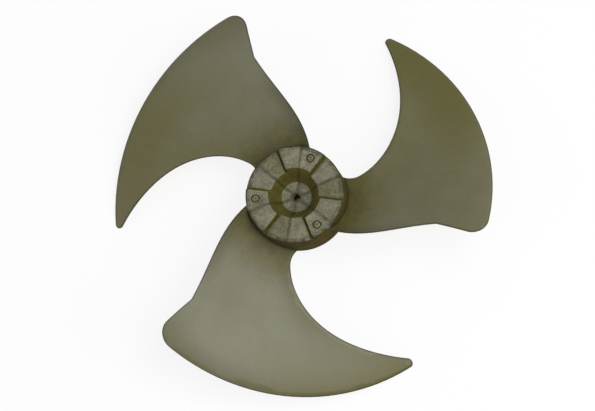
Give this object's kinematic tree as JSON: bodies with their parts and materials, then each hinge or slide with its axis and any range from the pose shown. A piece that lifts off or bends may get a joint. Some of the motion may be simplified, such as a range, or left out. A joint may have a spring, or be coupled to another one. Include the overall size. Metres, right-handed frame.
{
  "type": "fan impeller",
  "caption": "Moulded axial fan impeller with broad sickle-shaped blades round a cup-shaped hub, a nut funnel in its face and a flatted shaft bore.",
  "frame": {"origin": "on the shaft axis, in the plane of the hub's rear rim, where the shaft enters its boss", "axes": "+Z along the shaft axis from the motor to the nut side, which blows; +X and +Y across, as the picture shows them, so +X is to the right and +Y is up"},
  "size_m": [0.4, 0.3885, 0.0878],
  "materials": {
    "moulded_plastic": "satin, slightly see-through grey-olive glass-filled styrene plastic, as moulded"
  },
  "bodies": {
    "root": {"impeller": "moulded_plastic"}
  },
  "joints": []
}
